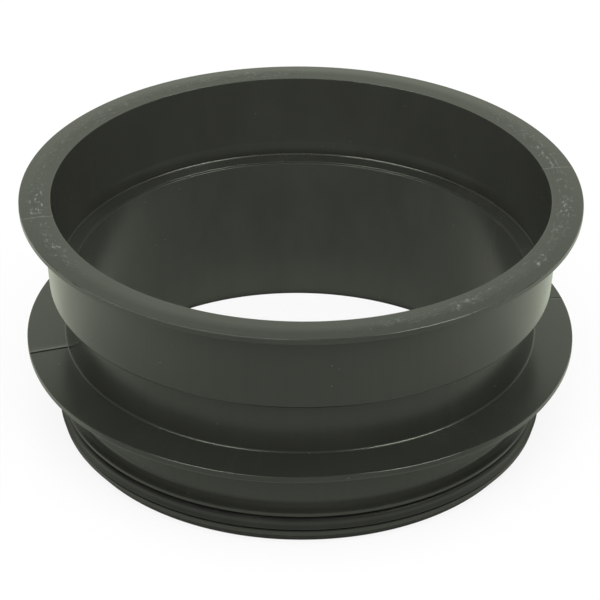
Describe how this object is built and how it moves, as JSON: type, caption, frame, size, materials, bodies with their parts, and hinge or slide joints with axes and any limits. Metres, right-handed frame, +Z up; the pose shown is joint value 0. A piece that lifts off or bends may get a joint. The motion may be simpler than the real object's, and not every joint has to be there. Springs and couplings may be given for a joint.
{
  "type": "toilet flange",
  "caption": "Round plastic fitting that joins a toilet to its drop pipe: a wide flat lip over a tapered socket, a thin fin round the neck, and a spigot with a rubber lip seal.",
  "frame": {"origin": "centre of the bottom rim, on the axis of the bore", "axes": "+Z up along the axis of the bore, from the spigot to the lip; the part is round, so X and Y are free"},
  "size_m": [0.28, 0.28, 0.128],
  "materials": {
    "body_plastic": "dark olive-grey moulded plastic, semi-gloss, lightly scuffed on the lip",
    "seal_rubber": "dark moulded rubber, satin",
    "gasket_rubber": "dark moulded rubber, satin"
  },
  "bodies": {
    "root": {"flange_body": "body_plastic", "spigot_seal": "seal_rubber", "seat_gasket": "gasket_rubber"}
  },
  "joints": []
}
